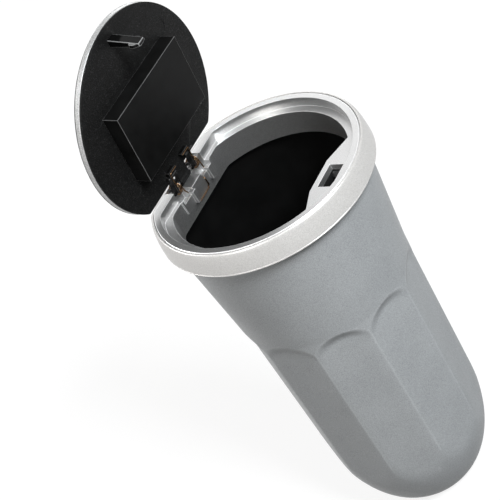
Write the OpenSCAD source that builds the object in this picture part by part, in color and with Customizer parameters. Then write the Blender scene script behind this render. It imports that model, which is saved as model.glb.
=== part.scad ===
// Small car trash bin: a faceted can with a sprung flip lid and a push latch.
// Origin at the centre of the base's flat face. The lid's hinge is at +Y and the latch at -Y.

/* [Can] */
// Height of the rim's top face above the base
rim_h = 171; // [150:1:200]
// Outer radius of the can at its top edge, inside the band
can_top_r = 40.6; // [39.5:0.1:41]
// Outer radius where the facets begin
can_waist_r = 36; // [34.5:0.1:37.5]
// Outer radius where the rounded bottom begins
can_low_r = 34.4; // [33:0.1:34.8]
// Distance from the rim down to the facets' arched tops
facet_drop = 57; // [45:1:75]
// Height of the start of the rounded bottom above the base
bottom_h = 45; // [35:1:55]
// Depth below the base at which the bottom's elliptical curve would close
bottom_sink = 3.5; // [2:0.5:10]
// Radius at which the bottom's elliptical curve would close
bottom_curve_r = 9.5; // [6:0.5:14]
// Number of facets round the can
facet_n = 10; // [8:1:12]
// How far a facet lies inside the corners of its polygon, which leaves the corners soft
corner_flat = 0.12; // [0.05:0.01:0.4]
// Radius of the arch at a facet's top
arch_r = 14; // [12:0.1:18]
// How far the arch's sloping rim runs out for each millimetre of its depth
arch_flare = 1.6; // [1:0.1:2.5]
// Distance from the arch's top up to the start of the facets
arch_gap = 4.2; // [3:0.1:8]
// Wall thickness of the can at its top edge
can_lip = 2; // [1.6:0.1:2.2]
// Height of the can's straight inner wall at its top edge
can_lip_h = 6; // [4:0.5:8]
// Least wall thickness of the can behind a facet
can_wall = 1.4; // [1.1:0.1:1.6]
// Thickness of the can's floor
floor_t = 2.4; // [1.8:0.1:4]
// Height and width of the bevel round the base
base_edge = 1.2; // [0.6:0.1:2]

/* [Collar and band] */
// Width by which the collar's land stands out beyond the can's top edge
land_out = 0.8; // [0.6:0.1:1.2]
// Distance from the axis to the straight outer edge at the hinge
chord_y = 35.4; // [34.8:0.1:36]
// Radius of the recess that takes the lid
recess_r = 38.7; // [38.4:0.1:39]
// Distance from the axis to the recess's straight wall
recess_y = 31.7; // [31.2:0.1:31.9]
// Depth of the recess
recess_t = 4; // [3.8:0.1:4.4]
// Radius of the mouth
bore_r = 35.4; // [34.8:0.1:35.8]
// Distance from the axis to the mouth's straight side
bore_y = 30.1; // [29.9:0.1:30.4]
// Corner radius of the mouth
bore_corner = 5; // [3:0.5:7]
// Thickness of the collar's shelf
shelf_t = 1.6; // [1.4:0.1:1.8]
// Depth of the skirt's lower edge below the rim
skirt_drop = 14.3; // [12:0.1:18]
// Wall thickness of the skirt
skirt_t = 1.2; // [1:0.1:1.4]
// Width by which the band's top edge stands out beyond the land
band_top_w = 0.6; // [0.5:0.05:1.2]
// Width by which the band's lower edge stands out beyond its top edge
band_flare = 1.65; // [1:0.05:2.5]
// Clearance between the can's top edge and the band round it
band_fit = 0.3; // [0.1:0.05:0.4]
// Height of the band
band_h = 9.7; // [8.5:0.1:12]
// Width of the seam between the land and the band
seam = 0.15; // [0.1:0.05:0.3]

/* [Lid] */
// Radius of the lid
lid_r = 38.2; // [37.9:0.1:38.3]
// Distance from the lid's centre to its straight edge
lid_chord = 29.3; // [28.8:0.1:29.6]
// Corner radius of the lid's outline
lid_corner = 2.2; // [1.5:0.1:3]
// Distance from the block's edges to the liner's screws
screw_inset = 5.8; // [5:0.1:7]
// Thickness of the silver cap
cap_t = 2.4; // [2.2:0.1:2.8]
// Skin thickness of the silver cap
cap_skin = 1.2; // [1:0.1:1.4]
// Width of the cap's side wall
cap_rim = 1.6; // [1.2:0.1:2.4]
// Thickness of the black liner
liner_t = 0.8; // [0.7:0.1:1]
// How far the lid's outside stands above the rim when shut
lid_proud = 0.1; // [0:0.05:0.3]
// Angle by which the lid stands open
open_angle = 84.2; // [70:0.1:88]
// Width of the block under the lid, along the hinge
box_w = 44.6; // [36:0.2:46]
// Depth of the block under the lid, across the hinge
box_d = 29.4; // [24:0.2:32]
// Height of the block under the lid
box_h = 6.6; // [4:0.1:8]
// Wall thickness of the block
box_wall = 1.2; // [0.9:0.1:1.6]
// Distance from the lid's centre to the block's centre, towards the latch
box_shift = 0.4; // [-1:0.1:2]

/* [Hinge] */
// Distance from the can's axis to the hinge pin
hinge_y = 34.5; // [34.3:0.05:34.6]
// Depth of the hinge pin's centre below the rim
hinge_drop = 2; // [1.9:0.05:2.1]
// Radius of the hinge pin
pin_r = 0.9; // [0.8:0.05:0.95]
// Running clearance between the pin and what turns on it
pin_gap = 0.06; // [0.03:0.01:0.09]
// Clearance between the pin and the collar's holes that hold it
pin_seat = 0.01; // [0.01:0.01:0.03]
// Half length of the hinge pin
pin_half = 13.6; // [13:0.1:14]
// Half width of the hinge bay in the collar
bay_half = 11; // [10.8:0.1:11.4]
// How far the small boxes stand out into the mouth
knuckle_stand = 2; // [1.5:0.1:2.2]
// Width of the small box in front of the left pocket
knuckle_left_w = 1.95; // [1.6:0.05:2.4]
// Width of the small box in front of the right pocket
knuckle_right_w = 2.2; // [1.8:0.1:2.6]
// Distance from the middle block to the right box
knuckle_right_gap = 3.45; // [3:0.05:4]
// Half width of the block between the two pockets
mid_half = 3.75; // [3.7:0.05:3.8]
// Distance from the centre to the middle of the right hinge arm
arm_right_x = 6.3; // [6.1:0.1:6.5]
// Distance from the centre to the middle of the left hinge arm
arm_left_x = 8.1; // [7.9:0.1:8.3]
// Distance from the centre to the middle of a rivet
rivet_x = 6.75; // [6.6:0.05:6.9]
// Thickness of a hinge arm
arm_t = 1; // [0.8:0.05:1.1]
// Height of a hinge arm above the liner
arm_h = 1.8; // [1.4:0.1:1.9]
// Radius of the arm's eye round the pin
eye_r = 1.75; // [1.6:0.05:1.8]
// Distance from the pin to the arm's far end
arm_len = 10.1; // [9:0.1:10.6]
// Length of the tab at the arm's far end
arm_tab = 3.9; // [3:0.1:4]
// Half width of the liner's knuckle between the arms
knuckle_half = 3.3; // [2.5:0.1:3.4]
// Distance from the pin to a rivet
rivet_reach = 7.3; // [6.5:0.1:7.6]
// Radius of a rivet
rivet_r = 0.75; // [0.6:0.05:0.85]
// Half length of a rivet
rivet_half = 2.75; // [2.2:0.05:2.8]
// Wire diameter of the lid's spring
wire_d = 0.5; // [0.5:0.05:0.7]
// Mean radius of the spring's coils
coil_r = 2.5; // [2:0.05:2.55]
// Depth of the lid spring's loop below the rim
loop_drop = 11.5; // [10.5:0.1:12.5]

/* [Latch] */
// Width of the slot in the latch tab
slot_w = 11.2; // [10.6:0.1:11.6]
// Distance from the can's axis to the slot's inner edge
slot_near = 28.3; // [28.2:0.1:28.6]
// Distance from the can's axis to the slot's outer edge
slot_far = 34.1; // [34:0.1:34.2]
// Thickness of the latch tab
tab_t = 2.4; // [2.2:0.1:2.6]
// Distance from the can's axis to the tab's inner edge
tab_y = 26; // [25.6:0.1:26.4]
// Half width of the tab's inner edge
tab_half = 7.9; // [7:0.1:9]
// Half width of the tab where it meets the mouth's wall
tab_side = 19.6; // [18:0.1:21]
// How far the tab's edge falls back over its slopes
tab_slope = 3.6; // [3:0.1:5]
// Distance from the middle to each screw of the latch
screw_x = 10.1; // [9.4:0.1:10.6]
// Radius of the latch screws' heads
screw_head_r = 1.9; // [1.6:0.1:2]
// Length of the striker below the liner
striker_l = 12.7; // [10:0.1:13]
// Width of the striker's shank
striker_w = 3.8; // [3:0.1:4.2]
// Thickness of the striker at the liner
striker_t = 3; // [2.4:0.1:3.2]
// Distance from the lid's centre to the striker's outer face
striker_y = 33.5; // [33:0.1:33.6]
// How far the striker's outer face leans in over its length
striker_lean = 1.4; // [1.4:0.1:1.8]
// Width of the striker's barbed head
barb_w = 5.2; // [4.6:0.1:5.4]
// Downward travel of the latch carriage
latch_travel = 3; // [2:0.1:3.2]
// Depth of the spring's well below the latch carriage
well_drop = 9; // [8:0.1:10]
// Height of the latch carriage below its jaws
carriage_h = 5.2; // [4.8:0.1:5.6]
// Clearance below the striker's tip
tip_gap = 0.8; // [0.5:0.1:1]
// Width of the latch carriage
carriage_w = 10; // [9.6:0.1:10.2]
// Gap between the two jaws
jaw_gap = 6.2; // [6:0.1:6.6]
// Running clearance round the carriage
slide_gap = 0.3; // [0.2:0.05:0.4]
// Wall thickness of the latch housing
housing_wall = 0.9; // [0.8:0.05:1.1]
// Outer radius of the latch spring
lspring_r = 1.8; // [1.6:0.1:1.9]
// Wire diameter of the latch spring
lspring_wire = 0.5; // [0.4:0.05:0.6]
// Turns of the latch spring
lspring_turns = 5; // [4:1:7]
// Diameter of the wire that follows the carriage's track
follower_d = 0.7; // [0.5:0.05:0.8]

/* [Hidden] */

// Fineness of round forms, and a small overlap that joins shapes of one piece
fine = 96;
small = 32;
e = 0.01;
// Lets a corner's circle cross the lines beside it, where it would only touch them
over = 0.003;

// Colours
silver = [0.68, 0.70, 0.70];
satin = [0.80, 0.78, 0.76];
black = [0.06, 0.06, 0.065];
steel = [0.75, 0.76, 0.78];
copper = [0.72, 0.48, 0.30];

// Heights of the main levels
shelf_z = rim_h - recess_t;
flange_z = shelf_z - shelf_t;
skirt_z = rim_h - skirt_drop;
can_top_z = flange_z - 0.1;
facet_top_z = rim_h - facet_drop;
lip_r = can_top_r - can_lip;
land_r = can_top_r + land_out;
band_top_r = land_r + band_top_w;
band_low_r = band_top_r + band_flare;
bottom_curve_h = bottom_h + bottom_sink;

// Slope of the chamfer that carries the straight edge out to the band
chamfer_run = 1.6;
// Length of the block that the chamfer is cut with
chamfer_wide = 1.5 * land_r;
// Small bevel on the land's edges
land_bevel = 0.3;

// Half the angle between two corners of the facets' polygon
facet_half = 180 / facet_n;

// Outer radius of the round can at a height, before the facets
function taper(z) = can_waist_r + (can_low_r - can_waist_r) * (facet_top_z - z) / (facet_top_z - bottom_h);
function bottom_arc(z) = bottom_curve_r + (can_low_r - bottom_curve_r)
    * sqrt(1 - pow((bottom_h - z) / bottom_curve_h, 2));
// Distance of a facet's plane from the axis at a height
function facet_dist(z) = taper(z) * cos(facet_half) + corner_flat;
// Inner radius of the can at a height of its rounded bottom
function inner_low(z) = min(facet_dist(z), bottom_arc(z)) - can_wall;
// Centre of a facet's arch, and how deep the cut for a facet reaches outwards
arch_z = facet_top_z - arch_r - arch_gap;
cut_deep = 8;
cut_margin = 3;
// Height where the inner wall straightens
waist_z = facet_top_z + 3;
bottom_steps = 14;
bottom_zs = [for (i = [0 : bottom_steps]) bottom_h * (1 - i / bottom_steps)];

// Points of the band's outside: a quarter of an ellipse
band_steps = 8;
band_curve = [for (i = [0 : band_steps])
    [band_top_r + (band_low_r - band_top_r) * sin(90 * i / band_steps),
     rim_h - band_h + band_h * cos(90 * i / band_steps)]];

// Levels of the shut lid
lid_top_z = rim_h + lid_proud;
cap_z = lid_top_z - cap_t;
face_z = cap_z - liner_t;
hinge_z = rim_h - hinge_drop;
lid_fit = 0.05;
arm_low_z = face_z - arm_h;
rivet_y = hinge_y - rivet_reach;
rivet_z = face_z - rivet_r - 0.2;
arm_end_y = hinge_y - arm_len;
hook_t = 0.9;
cradle_xs = [-arm_left_x - 1.05, -arm_left_x + 2.6, arm_right_x - 1.4, arm_right_x + 2];
box_floor_z = face_z - box_h;

// Pockets under the hinge bay
coil_out = coil_r + wire_d / 2;
bay_y = hinge_y + coil_out + 0.2;
bay_z = hinge_z - coil_out - 0.2;
block_near = bore_y - 0.6;
block_far = chord_y + 1;
cut_near = block_near - 2 * cut_margin;
pocket_near = bore_y + 0.2;
pocket_far = block_far - 0.8;
pocket_wall = 0.9;
pocket_z = flange_z - 3.4;
notch_z = arm_low_z - wire_d - 0.35;

// Boxes that stand in front of the pockets: from x, to x
knuckle_right_x = mid_half + knuckle_right_gap;
knuckle_boxes = [[-mid_half - knuckle_left_w, -mid_half],
                 [knuckle_right_x, knuckle_right_x + knuckle_right_w]];
knuckle_near = bore_y - knuckle_stand;
knuckle_top = shelf_z - 0.5;
block_low = pocket_z - pocket_wall;
knuckle_low = block_low - 0.2;

// Path of the lid's spring wire
wire_r = wire_d / 2;
coil_pitch = wire_d * 1.04;
coil_turns = 3;
spring_gap = 0.35;
leg_z = arm_low_z - wire_r - 0.05;
hook_y = arm_end_y + hook_t / 2;
link_x = mid_half + wire_r + 0.1;
link_z = notch_z - 0.7;
link_y = pocket_near + wire_r + 0.3;
loop_y = block_near - wire_r - 0.15;
loop_rest_y = bore_y - wire_r - 0.05;
loop_z = rim_h - loop_drop;
slot_x = mid_half + wire_d + 0.3;

// Levels of the latch
tab_z = shelf_z - tab_t;
carriage_top = tab_z - 0.2;
striker_tip = face_z - striker_l;
jaw_floor = striker_tip - tip_gap;
carriage_low = jaw_floor - carriage_h;
well_z = carriage_low - well_drop;
cavity_z = carriage_low - latch_travel - 0.5;
cavity_half = carriage_w / 2 + slide_gap;
cavity_near = slot_near + 0.1;
cavity_far = slot_far + 0.2;
carriage_near = cavity_near + slide_gap;
carriage_far = cavity_far - 1.1;
latch_mid = (carriage_near + carriage_far) / 2;
well_r = lspring_r + 0.4;
seat_t = 0.5;
seat_fit = 0.15;
ear_half = screw_x + screw_head_r + 0.4;
ear_far = slot_far - 0.7;
ear_near = slot_near - 0.9;
ear_fit = 0.2;
ear_t = 1.2;
ear_room = 2;
track_w = 2.2;
track_deep = 1.3;
track_rise = 0.7;
jaw_bevel = 1.2;
screw_r = 0.95;
screw_fit = 0.15;
screw_head_h = 1.2;
screw_hold = 1.6;
screw_y = 30.2;
cross_w = 0.4;

// Screws of the lid's liner
liner_screw_r = 0.8;
liner_head_r = 1.7;
liner_head_h = 0.9;
liner_screw_bite = 0.8;
boss_r = 2.2;

// Ribs that locate the block, and the round marks beside its corners
rib_h = 1.5;
rib_t = 1.15;
mark_r = 3;
mark_deep = 0.2;
mark_out = 2.2;
mark_down = 2;

// The striker's foot, its room in the cap, its barbed head and its groove
foot_side = 1.2;
foot_back = 0.6;
foot_front = 0.9;
foot_t = 0.7;
foot_fit = 0.1;
pad_half = 7;
pad_far = striker_y + 3.2;
pad_near = pad_far - 9;
cap_step = 0.3;
barb_tip_w = 2.4;
barb_low = 2.2;
barb_high = 4;
barb_root = 4.4;
groove_w = 1.1;
groove_deep = 0.8;

// A disc cut by a straight line at y = c, with its two corners rounded to radius f
module d_outline(r, c, f) {
    cx = sqrt(pow(r - f, 2) - pow(c - f, 2));
    reach = r / sqrt(pow(cx, 2) + pow(c - f, 2));
    difference() {
        intersection() {
            circle(r = r, $fn = fine);
            translate([-2 * r, -2 * r]) square([4 * r, 2 * r + c]);
        }
        for (s = [-1, 1]) {
            difference() {
                polygon([[s * cx, c - f], [s * cx, c + 1], [s * (cx + f + 4), c + 1],
                         [s * cx * (reach + 0.1), (c - f) * (reach + 0.1)]]);
                translate([s * cx, c - f]) circle(r = f + over, $fn = small);
            }
        }
    }
}

// Places shut-lid shapes where the open lid stands
module opened() {
    translate([0, hinge_y, hinge_z])
        rotate([-open_angle, 0, 0])
            translate([0, -hinge_y, -hinge_z])
                children();
}

// A cylinder along X from x0 to x1
module bar_x(x0, x1, y, z, r) {
    translate([x0, y, z]) rotate([0, 90, 0]) cylinder(r = r, h = x1 - x0, $fn = small);
}

// A straight piece of wire with round ends
module wire(a, b, r) {
    d = b - a;
    length = norm(d);
    translate(a)
        rotate([0, acos(d[2] / length), atan2(d[1], d[0])])
            cylinder(r = r, h = length, $fn = small);
    translate(a) sphere(r = r, $fn = small);
    translate(b) sphere(r = r, $fn = small);
}

// Direction of a path at its point i, and a direction across it that turns as little as it can
function unit(v) = v / norm(v);
function along(p, i) = unit(p[min(i + 1, len(p) - 1)] - p[max(i - 1, 0)]);
function across(p, i, v) = unit(v - along(p, i) * (v * along(p, i)));
function reversed(v) = [for (i = [len(v) - 1 : -1 : 0]) v[i]];

// A wire that follows a bent path
module bent_wire(path, r, first) {
    n = 10;
    last = len(path) - 1;
    sides = [for (i = 0, v = across(path, 0, first); i <= last;
        i = i + 1, v = across(path, min(i, last), v)) v];
    points = [for (i = [0 : last], j = [0 : n - 1])
        let (u = sides[i], w = cross(along(path, i), u), a = 360 * j / n)
        path[i] + r * (cos(a) * u + sin(a) * w)];
    polyhedron(points, concat(
        [[for (j = [0 : n - 1]) j]],
        [for (i = [0 : last - 1], j = [0 : n - 1])
            let (a = i * n + j, b = i * n + (j + 1) % n) each [[a, a + n, b + n], [a, b + n, b]]],
        [[for (j = [n - 1 : -1 : 0]) last * n + j]]));
}

// The half space outside the sloping chamfer at the hinge side
module hinge_chamfer() {
    translate([0, chord_y, rim_h])
        rotate([-atan(1 / chamfer_run), 0, 0])
            translate([-chamfer_wide, -cut_margin, 0])
                cube([2 * chamfer_wide, chamfer_wide, chamfer_wide / 2]);
}

// What is cut away for one facet: a flat slab, and above it a disc whose rim slopes outwards
module facet_cut() {
    lean = atan((can_low_r - can_waist_r) * cos(facet_half) / (facet_top_z - bottom_h));
    slab_half = arch_r + cut_margin;
    translate([facet_dist(arch_z), 0, arch_z]) rotate([0, -lean, 0]) {
        translate([0, -slab_half, -arch_z - cut_margin])
            cube([cut_deep, 2 * slab_half, arch_z + cut_margin]);
        rotate([0, 90, 0])
            cylinder(r1 = arch_r, r2 = arch_r + arch_flare * cut_deep, h = cut_deep, $fn = fine);
    }
}

module can_body() {
    color(silver) difference() {
        rotate([0, 0, facet_half]) rotate_extrude($fn = fine)
            polygon(concat(
                [[0, 0], [bottom_arc(0) - base_edge, 0]],
                [for (i = [bottom_steps - 1 : -1 : 0]) [bottom_arc(bottom_zs[i]), bottom_zs[i]]],
                [[can_waist_r, facet_top_z], [can_top_r, can_top_z], [0, can_top_z]]));
        for (k = [0 : facet_n - 1])
            rotate([0, 0, -90 + facet_half + 2 * facet_half * k]) facet_cut();
        rotate_extrude($fn = fine)
            polygon(concat(
                [[0, floor_t], [inner_low(floor_t) - 3, floor_t]],
                [for (i = [bottom_steps - 2 : -1 : 0]) [inner_low(bottom_zs[i]), bottom_zs[i]]],
                [[facet_dist(waist_z) - can_wall, waist_z], [lip_r, can_top_z - can_lip_h],
                 [lip_r, can_top_z + 1], [0, can_top_z + 1]]));
    }
}

module outer_band() {
    color(satin) difference() {
        rotate_extrude($fn = fine)
            polygon(concat(
                [[land_r + seam, rim_h]], band_curve,
                [[can_top_r + band_fit, rim_h - band_h], [can_top_r + band_fit, flange_z],
                 [land_r + seam, flange_z]]));
        hinge_chamfer();
    }
}

// Plan of the latch tab: a trapezoid that reaches into the round mouth
module tab_plan() {
    out = bore_r + skirt_t;
    polygon([[-tab_half, -tab_y], [-tab_side, -tab_y - tab_slope], [-tab_side, -out], [tab_side, -out],
             [tab_side, -tab_y - tab_slope], [tab_half, -tab_y]]);
}

module skirt() {
    difference() {
        translate([0, 0, skirt_z])
            linear_extrude(height = flange_z - skirt_z + e)
                difference() {
                    d_outline(bore_r + skirt_t, bore_y + skirt_t, bore_corner + skirt_t);
                    d_outline(bore_r, bore_y, bore_corner);
                }
        latch_w = 2 * (cavity_half + housing_wall + slide_gap);
        translate([-latch_w / 2, -land_r, skirt_z - 1])
            cube([latch_w, land_r - bore_r / 2, flange_z - skirt_z + 1]);
        translate([-ear_half - ear_fit, -ear_far - cut_margin, tab_z - ear_t - ear_room])
            cube([2 * (ear_half + ear_fit), ear_far + cut_margin - bore_r / 2, ear_t + ear_room + 0.5]);
    }
}

// The block that carries the two hinge pockets
module hinge_block() {
    half = bay_half + pocket_wall;
    translate([-half, block_near, block_low])
        cube([2 * half, block_far - block_near, shelf_z - block_low]);
}

// The two small boxes in front of it
module knuckles() {
    for (x = knuckle_boxes)
        translate([x[0], knuckle_near, knuckle_low])
            cube([x[1] - x[0], pocket_near - knuckle_near, knuckle_top - knuckle_low]);
}

// A box cut from x = mid_half outwards to the bay's side, on both sides
module pocket_cut(w, y0, y1, z0) {
    for (s = [-1, 1])
        translate([s > 0 ? mid_half : -mid_half - w, y0, z0]) cube([w, y1 - y0, rim_h + 1 - z0]);
}

module hinge_cuts() {
    w = bay_half - mid_half;
    translate([-bay_half, cut_near, shelf_z]) cube([2 * bay_half, bay_y - cut_near, recess_t + 1]);
    pocket_cut(w, pocket_near, pocket_far, pocket_z);
    pocket_cut(w, pocket_near, bay_y, bay_z);
    pocket_cut(w, cut_near, pocket_near + 0.1, notch_z);
}

// Slots that let the spring's wire out to the front: the right one open above, the left one low
module wire_slots() {
    h = rim_h + 1 - link_z;
    translate([mid_half, block_near - 0.5, link_z - wire_r - 0.2])
        cube([slot_x - mid_half, pocket_near - block_near + 0.6, h]);
    translate([-slot_x, knuckle_near - 1, block_low - 0.3])
        cube([slot_x - mid_half, pocket_near - knuckle_near + 1.2, pocket_wall + 2]);
}

module rim_collar() {
    color(satin) difference() {
        union() {
            difference() {
                union() {
                    difference() {
                        translate([0, 0, flange_z]) cylinder(r = land_r, h = rim_h - flange_z, $fn = fine);
                        translate([0, 0, shelf_z])
                            linear_extrude(height = recess_t + 1) d_outline(recess_r, recess_y, 3.5);
                        translate([0, 0, flange_z - 1])
                            linear_extrude(height = shelf_t + 2) d_outline(bore_r, bore_y, bore_corner);
                        rotate_extrude($fn = fine)
                            polygon([[land_r - land_bevel - 1, rim_h + 1],
                                     [land_r + 1, rim_h - land_bevel - 1], [land_r + 1, rim_h + 1]]);
                    }
                    skirt();
                    translate([0, 0, tab_z]) linear_extrude(height = tab_t) intersection() {
                        tab_plan();
                        circle(r = bore_r + skirt_t / 2, $fn = fine);
                    }
                    hinge_block();
                }
                hinge_chamfer();
                hinge_cuts();
                translate([-slot_w / 2, -slot_far, tab_z - 1])
                    cube([slot_w, slot_far - slot_near, tab_t + 2]);
                for (s = [-1, 1])
                    translate([s * screw_x, -screw_y, tab_z - 1])
                        cylinder(r = screw_r, h = screw_hold + 1, $fn = small);
            }
            knuckles();
        }
        wire_slots();
        bar_x(-pin_half - 0.1, pin_half + 0.1, hinge_y, hinge_z, pin_r + pin_seat);
    }
}

module hinge_pin() {
    color(steel) bar_x(-pin_half, pin_half, hinge_y, hinge_z, pin_r);
}

// Where a point of the shut lid stands when the lid is open
function opened_point(p) = let (dy = p[1] - hinge_y, dz = p[2] - hinge_z)
    [p[0], hinge_y + dy * cos(open_angle) + dz * sin(open_angle),
     hinge_z - dy * sin(open_angle) + dz * cos(open_angle)];

// Points of a coil round the hinge pin, from its upright leg at x0 to its downward end at x1
function coil_path(x0, x1) = [for (i = [0 : 20 * coil_turns])
    [x0 + (x1 - x0) * i / (20 * coil_turns),
     hinge_y - coil_r * cos(18 * i), hinge_z - coil_r * sin(18 * i)]];

// A leg of the spring: hooked over an arm's tab, along the arm's edge and down to the coil
function leg_points(arm, side, d) = [
    [arm - side * (arm_tab + 0.3), hook_y, leg_z], [arm - side * 0.6, hook_y, leg_z],
    [arm - side * 0.15, hook_y + 0.15, leg_z], [arm, hook_y + 0.6, leg_z],
    [arm, hinge_y - 2 * coil_r, leg_z], [arm + 0.15 * d, hinge_y - 1.7 * coil_r, leg_z],
    [arm + 0.85 * d, hinge_y - 1.2 * coil_r, leg_z], [arm + d, hinge_y - 0.9 * coil_r, leg_z],
    [arm + d, hinge_y - 0.36 * coil_r, hinge_z - 1.06 * coil_r]];
function leg_path(arm, coil_x, side) = [for (p = leg_points(arm, side, coil_x - arm)) opened_point(p)];

module lid_spring() {
    right_x = arm_right_x + arm_t / 2 + spring_gap + wire_r;
    right_end = right_x + coil_pitch * coil_turns;
    left_x = -arm_left_x + arm_t / 2 + spring_gap + wire_r;
    left_end = left_x + coil_pitch * coil_turns;
    drop_y = hinge_y - coil_r - 0.1;
    right = concat(
        leg_path(arm_right_x, right_x, 1), coil_path(right_x, right_end),
        [[right_end, drop_y, hinge_z - 1.5], [right_end, drop_y - 0.2, link_z + 0.7],
         [right_end - 0.4, link_y + 0.2, link_z], [right_end - 1, link_y, link_z],
         [link_x + 0.8, link_y, link_z], [link_x + 0.2, link_y - 0.2, link_z],
         [link_x, link_y - 0.8, link_z], [link_x, loop_y + 0.6, link_z],
         [link_x, loop_y + 0.1, link_z - 0.2], [link_x, loop_y, link_z - 0.7],
         [link_x, loop_y, block_low - 0.1]]);
    left = concat(
        leg_path(-arm_left_x, left_x, -1), coil_path(left_x, left_end),
        [[left_end + 0.1, drop_y, hinge_z - 2], [-link_x, link_y + 0.6, link_z - 0.4],
         [-link_x, link_y, pocket_z + 1], [-link_x, link_y - 0.6, pocket_z + 0.55],
         [-link_x, loop_y + 0.4, pocket_z + 0.4], [-link_x, loop_y, pocket_z],
         [-link_x, loop_y, block_low - 0.1]]);
    // the loop that rests on the skirt below the middle block
    loop = [for (s = [1, -1]) [s * link_x, loop_rest_y, loop_z + 0.7]];
    corner = [for (s = [1, -1]) [s * (link_x - 0.2), loop_rest_y, loop_z + 0.2]];
    foot = [for (s = [1, -1]) [s * (link_x - 0.9), loop_rest_y, loop_z]];
    path = concat(right, [loop[0], corner[0], foot[0], foot[1], corner[1], loop[1]], reversed(left));
    color(copper) bent_wire(path, wire_r, [0, 1, 0]);
}

module latch_housing() {
    color(black) difference() {
        union() {
            translate([-cavity_half - housing_wall, -cavity_far - housing_wall, cavity_z - 1])
                cube([2 * (cavity_half + housing_wall), cavity_far - cavity_near + 2 * housing_wall,
                      tab_z - cavity_z + 1]);
            translate([-well_r - housing_wall, -latch_mid - well_r - housing_wall, well_z - 1])
                cube([2 * (well_r + housing_wall), 2 * (well_r + housing_wall), cavity_z - well_z]);
            translate([-ear_half, -ear_far, tab_z - ear_t])
                cube([2 * ear_half, ear_far - ear_near, ear_t]);
        }
        translate([-cavity_half, -cavity_far, cavity_z])
            cube([2 * cavity_half, cavity_far - cavity_near, tab_z - cavity_z + 1]);
        translate([0, -latch_mid, well_z]) cylinder(r = well_r, h = cavity_z - well_z + 1, $fn = small);
        for (s = [-1, 1])
            translate([s * screw_x, -screw_y, tab_z - ear_t - 1])
                cylinder(r = screw_r + screw_fit, h = ear_t + 2, $fn = small);
        // hole for the follower wire's lower end
        translate([0, -cavity_far + 0.2, cavity_z + 0.8]) rotate([90, 0, 0])
            cylinder(r = follower_d / 2 + 0.02, h = 0.8, $fn = small);
    }
}

module latch_carriage() {
    jaw_w = (carriage_w - jaw_gap) / 2;
    depth = carriage_far - carriage_near;
    color(black) difference() {
        union() {
            translate([-carriage_w / 2, -carriage_far, carriage_low])
                cube([carriage_w, depth, jaw_floor - carriage_low]);
            for (s = [-1, 1])
                translate([s > 0 ? jaw_gap / 2 : -carriage_w / 2, -carriage_far, carriage_low])
                    cube([jaw_w, depth, carriage_top - carriage_low]);
        }
        // bevelled mouths of the jaws
        translate([0, -carriage_far - 1, carriage_top - jaw_bevel]) rotate([-90, 0, 0])
            linear_extrude(height = depth + 2)
                polygon([[-jaw_gap / 2 - jaw_bevel + 0.1, -jaw_bevel - 0.1],
                         [jaw_gap / 2 + jaw_bevel - 0.1, -jaw_bevel - 0.1],
                         [jaw_gap / 2 - 0.1, 0.2], [-jaw_gap / 2 + 0.1, 0.2]]);
        // track for the follower wire
        translate([-track_w / 2, -carriage_far - 1, carriage_low + track_rise])
            cube([track_w, track_deep + 1, jaw_floor - carriage_low - track_rise - 0.4]);
        // seat for the spring
        translate([0, -latch_mid, carriage_low - 1])
            cylinder(r = lspring_r + seat_fit, h = 1 + seat_t, $fn = small);
    }
}

module latch_spring() {
    low = well_z + lspring_wire / 2;
    high = carriage_low + seat_t - lspring_wire / 2;
    mean = lspring_r - lspring_wire / 2;
    flat = lspring_wire * 1.05;
    count = 18 * lspring_turns;
    // height over the turns: close at both ends, open between
    path = [for (i = [0 : count])
        let (t = i / 18, rest = lspring_turns - t,
            z = t < 1 ? low + flat * t : rest < 1 ? high - flat * rest
                : low + flat + (high - low - 2 * flat) * (t - 1) / (lspring_turns - 2))
        [mean * cos(20 * i), -latch_mid + mean * sin(20 * i), z]];
    color(steel) bent_wire(path, lspring_wire / 2, [0, 0, 1]);
}

module latch_wire() {
    y = -cavity_far + follower_d / 2 + 0.05;
    low = cavity_z + 0.8;
    high = carriage_low + 1.15;
    color(steel) union() {
        wire([0, y - 0.6, low], [0, y, low], follower_d / 2);
        wire([0, y, low], [0, y, high], follower_d / 2);
        wire([0, y, high], [0, y + 1.1, high], follower_d / 2);
    }
}

// Cross recess in a screw's head whose face looks down at height z
module cross_recess(l, z, deep) {
    for (a = [0, 90])
        rotate([0, 0, a]) translate([-l / 2, -cross_w / 2, z - 1]) cube([l, cross_w, deep + 1]);
}

module latch_screws() {
    head_z = tab_z - ear_t;
    color(steel)
        for (s = [-1, 1])
            translate([s * screw_x, -screw_y, 0])
                difference() {
                    union() {
                        translate([0, 0, head_z - screw_head_h])
                            cylinder(r = screw_head_r, h = screw_head_h, $fn = small);
                        translate([0, 0, head_z - 0.1])
                            cylinder(r = screw_r, h = ear_t + screw_hold, $fn = small);
                    }
                    cross_recess(2.2, head_z - screw_head_h, screw_head_h / 2);
                }
}

// Plan of the lid
module lid_plan(inset) {
    d_outline(lid_r - inset, lid_chord - inset, lid_corner);
}

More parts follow.
